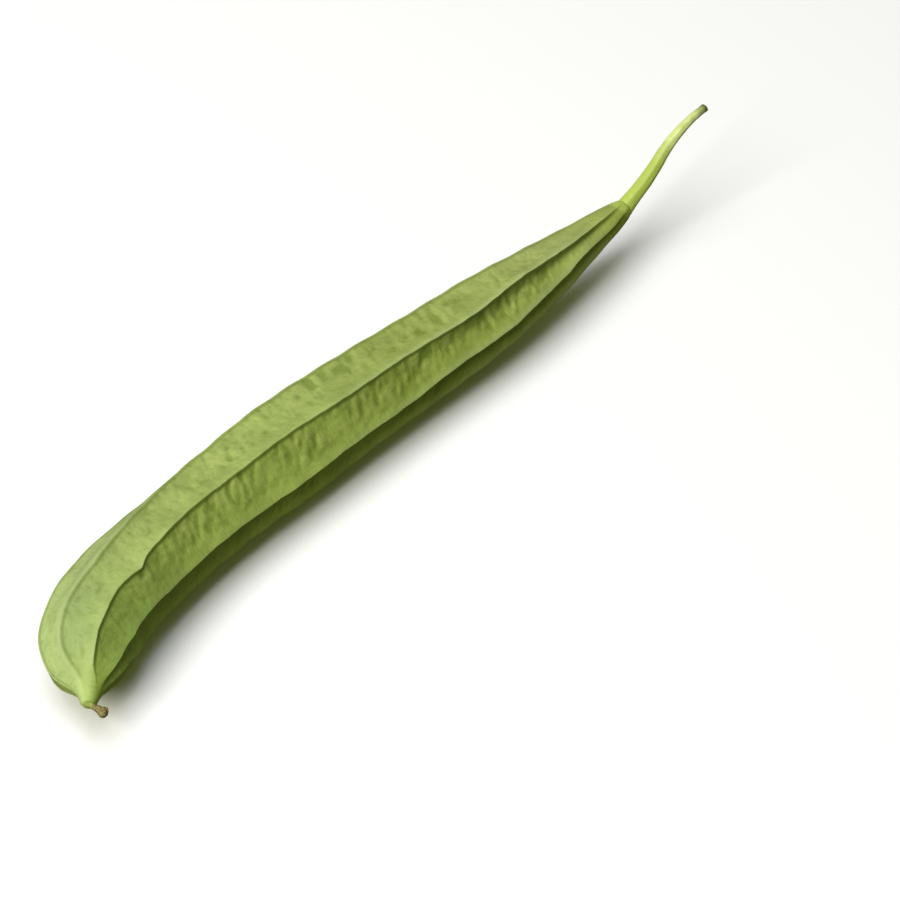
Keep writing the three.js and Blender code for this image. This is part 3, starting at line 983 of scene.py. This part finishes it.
def rindMaterial(grain):
    look = rindFinish
    material, tree, surface = finish("gourdRind", {"Specular IOR Level": look["specular"]})
    place = ownValue(tree, "straight", "Vector")
    distance, _, height = partsOf(tree, place)
    cloud, fineGrain, pores = grained(tree, grain, place, look["grain"])

    # the ground colour runs from the pale blossom end to the darker neck, and wanders a little
    wander = times(tree, minus(tree, cloud, 0.5), look["wander"])
    ground = ramp(tree, over(tree, plus(tree, distance, wander), bodyLine["length"]), look["ground"])
    # the sides turned from the lights get a painted shade of deeper green, and the far upper side a pale
    # colour that is partly waxy bloom and partly painted sheen
    pale = ownValue(tree, "pale")
    withPaintedShade = mixed(tree, fade(tree, pale, *look["paintedShadeSideSpan"]), ground, look["paintedShadeSide"], "MULTIPLY")
    withBloomAndSheen = mixed(tree, fade(tree, pale, *look["bloomAndSheenSpan"]), withPaintedShade, look["bloomAndSheen"])
    shade = fade(tree, cloud, *look["cloudSpan"], *look["cloudShade"])
    colour = mixed(tree, 1.0, withBloomAndSheen, vectorOf(tree, shade, shade, shade), "MULTIPLY")

    uneven = plus(tree, ownValue(tree, "pleat"), times(tree, ownValue(tree, "dent"), look["dentShare"]))
    streakPlace = vectorCalc(tree, "MULTIPLY", place, look["streakScale"])
    fineStreaks = noise(tree, streakPlace, *look["streakDetail"])
    ridgeTopHighlight = ownValue(tree, "ridgeTopHighlight")
    scuffs = fade(tree, noise(tree, place, *look["scuffDetail"]), *look["scuffSpan"])
    marks = ownValue(tree, "marks")
    reach = plus(tree, distance, times(tree, height, look["collarSlant"]))
    collarNoise = noise(tree, place, *look["collarDetail"])
    ragged = calc(tree, "MULTIPLY_ADD", collarNoise, look["collarRagged"], reach)
    layers = [
        # painted shade on the sunken side of each pleat and dent, and a painted highlight on the raised
        # side; the fine streaks are the skin's own darker green
        ("hollow", fade(tree, uneven, *look["sunkenSpan"])),
        ("raisedHighlight", fade(tree, uneven, *look["raisedSpan"])),
        ("hollow", fade(tree, fineStreaks, *look["streakSpan"])),
        # a painted highlight on the ridge tops, and painted shade in a dark line under them and along the
        # neck's furrow
        ("ridgeFootShade", times(tree, ownValue(tree, "ridgeFootShade"), look["footAmount"])),
        ("ridgeTopHighlight", times(tree, ridgeTopHighlight, look["topAmount"])),
        # pores, a few dry scuffs on the ridge tops, and the marks: sunk ones dark with the same painted
        # shade, raised ones pale
        ("pore", times(tree, pores, look["poreAmount"])),
        ("scuff", times(tree, scuffs, ridgeTopHighlight, look["scuffAmount"])),
        ("ridgeFootShade", fade(tree, marks, *look["pitSpan"])),
        ("pore", fade(tree, marks, *look["wartSpan"])),
        # the stalk's colour runs a little way onto the fruit's shoulder, further on its upper side
        ("collar", fade(tree, ragged, *look["collarSpan"])),
    ]
    for name, amount in layers:
        colour = mixed(tree, amount, colour, look[name])
    tree.links.new(colour, surface["Base Color"])

    tree.links.new(fade(tree, cloud, *look["cloudSpan"], *look["roughness"]), surface["Roughness"])
    relief = plus(tree, fineGrain, times(tree, fineStreaks, look["streakRelief"]))
    bumped(tree, surface, relief, look["bump"])
    return material


stalkFinish = {
    # the ground colour, at shares of the stalk's length from the fruit; the pale stretch from 0.68 to 0.86
    # is a painted highlight where the light falls on the stalk's far part
    "ground": [
        (0.0, tint(188, 208, 96)),
        (0.4, tint(180, 200, 88)),
        (0.68, tint(230, 240, 160)),
        (0.86, tint(230, 240, 160)),
        (0.955, tint(168, 178, 110)),
        (0.985, tint(98, 104, 62)),
    ],
    "grain": {"Cloud Size": 7.0, "Grain Size": 0.6, "Pore Spacing": 1.4},
    "furrow": tint(150, 172, 54),
    "furrowSpan": (0.1, -0.45),
    "furrowAmount": 0.45,
    "cloudSpan": (0.5, 0.75),
    "cloudAmount": 0.35,
    "cut": tint(86, 82, 54),
    "cutAmount": 0.9,
    "roughness": 0.48,
    "specular": 0.45,
    "bump": (0.4, 0.2),  # strength, distance
}


def stalkMaterial(grain):
    look = stalkFinish
    values = {"Roughness": look["roughness"], "Specular IOR Level": look["specular"]}
    material, tree, surface = finish("freshStalk", values)
    place = ownValue(tree, "straight", "Vector")
    skin = grained(tree, grain, place, look["grain"])
    colour = ramp(tree, over(tree, partsOf(tree, place)[0], stalkShape["length"]), look["ground"])
    furrow = fade(tree, ownValue(tree, "fibre"), *look["furrowSpan"])
    cloud = fade(tree, skin["Cloud"], *look["cloudSpan"])
    layers = [
        ("furrow", times(tree, furrow, look["furrowAmount"])),
        ("furrow", times(tree, cloud, look["cloudAmount"])),
        ("cut", times(tree, ownValue(tree, "cutFace"), look["cutAmount"])),
    ]
    for name, amount in layers:
        colour = mixed(tree, amount, colour, look[name])
    tree.links.new(colour, surface["Base Color"])
    bumped(tree, surface, skin["Grain"], look["bump"])
    return material


flowerFinish = {
    "paper": tint(168, 160, 100),
    "fold": tint(82, 64, 28),
    "root": tint(150, 162, 80),
    "foldSpan": (0.02, 0.3, 0.9, 0.0),  # each span: start, end, amount of the colour at them
    "rootSpan": (0.6, 3.2, 0.85, 0.0),
    "veinScale": (0.8, 4.0, 4.0),
    "veinDetail": (1.0, 3.0, 0.6),  # a noise's scale, detail and roughness
    "roughness": 0.85,
    "bump": (0.6, 0.2),  # strength, distance
}


def flowerMaterial():
    look = flowerFinish
    material, tree, surface = finish("driedFlower", {"Roughness": look["roughness"]})
    place = ownValue(tree, "straight", "Vector")
    folded = fade(tree, ownValue(tree, "fold"), *look["foldSpan"])
    rooted = fade(tree, partsOf(tree, place)[0], *look["rootSpan"])
    colour = mixed(tree, rooted, mixed(tree, folded, look["paper"], look["fold"]), look["root"])
    tree.links.new(colour, surface["Base Color"])
    veins = noise(tree, vectorCalc(tree, "MULTIPLY", place, look["veinScale"]), *look["veinDetail"])
    bumped(tree, surface, veins, look["bump"])
    return material


# The studio, in metres: a plain pale floor, soft light from the upper left, and the camera
studio = {
    "floorColour": tint(252, 252, 254),
    "floorHalf": 2.2,
    "floorRoughness": 0.9,
    "floorSpecular": 0.1,
    "backdrop": (1.0, 1.0, 1.0, 1.0),  # what the camera sees behind the floor
    "ambient": (0.12, 0.128, 0.05, 1.0),  # the even light from all round, also from below, a yellow green
    "lightDistance": 2.8,
    # elevation, turn from the left, power, size, colour
    "lights": {
        "top": (80, 0, 52.0, 2.4, (0.97, 0.98, 1.12)),
        "left": (40, -45, 59.5, 1.6, (1.03, 1.0, 0.87)),
    },
    # level directions, to the left of the picture and away from the camera
    "pictureLeft": (-0.5948, 0.8039, 0),
    "pictureAway": (0.8039, 0.5948, 0),
    "cameraTarget": (0.00168, -0.03847, 0.0),
    "cameraAway": (-0.5684, -0.4206, 0.7071),
    "cameraDistance": 1.304,
    "cameraLens": 118.03,  # millimetres, as the sensor's width is
    "sensorWidth": 36,
    "clipStart": 0.01,
}


def makeStudio():
    half = studio["floorHalf"]
    mesh = bpy.data.meshes.new("floor")
    corners = [(-half, -half, 0), (half, -half, 0), (half, half, 0), (-half, half, 0)]
    mesh.from_pydata(corners, [], [(0, 1, 2, 3)])
    floor = bpy.data.objects.new("floor", mesh)
    bpy.context.scene.collection.objects.link(floor)
    material = finish("paleFloor", {
        "Base Color": studio["floorColour"],
        "Roughness": studio["floorRoughness"],
        "Specular IOR Level": studio["floorSpecular"],
    })[0]
    mesh.materials.append(material)
    floor.visible_diffuse = False  # the floor takes shadows, and throws no light up under the fruit
    floor.visible_glossy = False

    world = bpy.data.worlds.new("studioWorld")
    bpy.context.scene.world = world
    world.use_nodes = True
    seen = world.node_tree.nodes.new("ShaderNodeLightPath").outputs["Is Camera Ray"]
    around = mixed(world.node_tree, seen, studio["ambient"], studio["backdrop"])
    world.node_tree.links.new(around, world.node_tree.nodes["Background"].inputs["Color"])

    target = Vector(studio["cameraTarget"])
    pictureLeft, pictureAway = Vector(studio["pictureLeft"]), Vector(studio["pictureAway"])
    for name, (elevation, turn, power, size, colour) in studio["lights"].items():
        rise, turn = math.radians(elevation), math.radians(turn)
        level = pictureLeft * math.cos(turn) + pictureAway * math.sin(turn)
        light = bpy.data.lights.new(name, "AREA")
        light.energy = power
        light.size = size
        light.color = colour
        lamp = bpy.data.objects.new(name, light)
        away = level * math.cos(rise) + Vector((0, 0, math.sin(rise)))
        lamp.location = target + away * studio["lightDistance"]
        lamp.rotation_euler = (target - lamp.location).to_track_quat("-Z", "Y").to_euler()
        bpy.context.scene.collection.objects.link(lamp)

    camera = bpy.data.cameras.new("camera")
    camera.lens = studio["cameraLens"]
    camera.sensor_width = studio["sensorWidth"]
    camera.clip_start = studio["clipStart"]
    eye = bpy.data.objects.new("camera", camera)
    eye.location = target + Vector(studio["cameraAway"]) * studio["cameraDistance"]
    eye.rotation_euler = (target - eye.location).to_track_quat("-Z", "Y").to_euler()
    bpy.context.scene.collection.objects.link(eye)
    bpy.context.scene.camera = eye
    bpy.context.scene.view_settings.view_transform = "Standard"


def attach(piece, node):
    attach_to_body(piece, "root")
    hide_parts(node)


makeStudio()
print("studio ready")
grain = grainGroup()
fruit, tip = makeFruit(rindMaterial(grain))
attach(fruit, "fruit")
print("fruit grown:", len(fruit.data.vertices), "points, tip at", tip)
stalk = makeStalk(stalkMaterial(grain), tip)
attach(stalk, "stalk")
print("stalk grown")
flower = makeFlower(flowerMaterial(), tip)
attach(flower, "dried_blossom")
print("dried flower grown")
